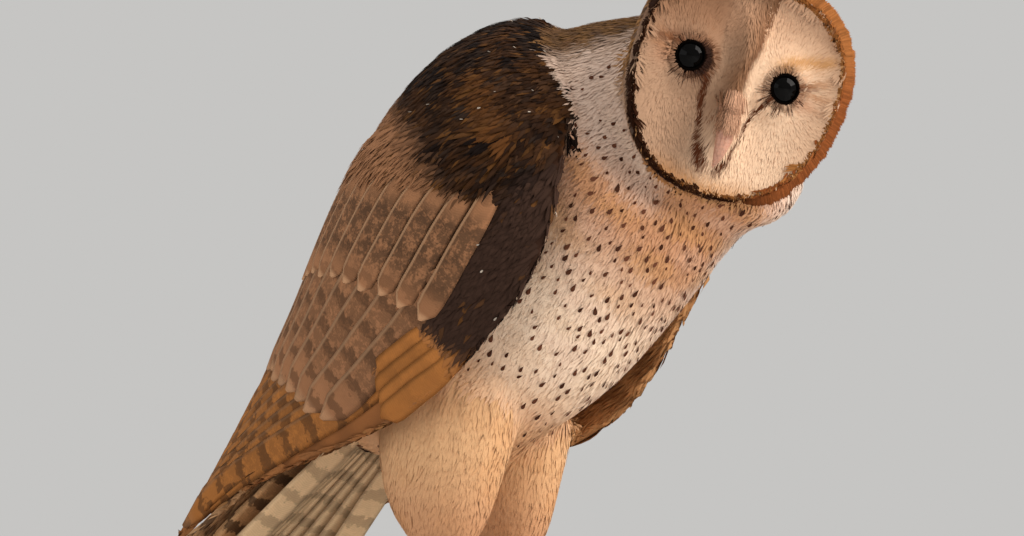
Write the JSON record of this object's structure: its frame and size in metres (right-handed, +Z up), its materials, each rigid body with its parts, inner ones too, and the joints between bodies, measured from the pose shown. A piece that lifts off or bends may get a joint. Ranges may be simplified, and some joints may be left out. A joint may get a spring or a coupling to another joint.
{
  "type": "barn owl",
  "caption": "Life-size still model of a barn owl standing on the floor, leaning forward with its wings held a little off the body and its face turned and tilted to its right.",
  "frame": {"origin": "on the floor, at the middle of the bird's box in plan", "axes": "+Z up; the trunk heads towards -Y; the bird's left side is +X"},
  "size_m": [0.1642, 0.3068, 0.3],
  "materials": {
    "face_feathers": "fine soft feathers of the facial disc, cream to buff",
    "buff_feathers": "soft buff feathers with small dark spots",
    "cream_feathers": "soft cream feathers with small dark spots",
    "wing_feathers": "firm golden brown and dark brown feathers, barred and flecked",
    "eye_black": "wet gloss black",
    "bill_horn": "smooth flesh-coloured horn",
    "foot_skin": "fine scaly grey-brown skin with short bristles",
    "claw_horn": "dark polished horn"
  },
  "bodies": {
    "root": {"head": "face_feathers", "eye_left": "eye_black", "eye_right": "eye_black", "bill_upper": "bill_horn", "bill_lower": "bill_horn", "neck": "buff_feathers", "trunk": "cream_feathers", "tail": "wing_feathers", "wing_left_arm": "wing_feathers", "wing_left_hand": "wing_feathers", "thigh_left": "cream_feathers", "tarsus_left": "cream_feathers", "foot_left": "foot_skin", "claw_left_hind": "claw_horn", "claw_left_inner": "claw_horn", "claw_left_middle": "claw_horn", "claw_left_outer": "claw_horn", "wing_right_arm": "wing_feathers", "wing_right_hand": "wing_feathers", "thigh_right": "cream_feathers", "tarsus_right": "cream_feathers", "foot_right": "foot_skin", "claw_right_hind": "claw_horn", "claw_right_inner": "claw_horn", "claw_right_middle": "claw_horn", "claw_right_outer": "claw_horn"}
  },
  "joints": []
}
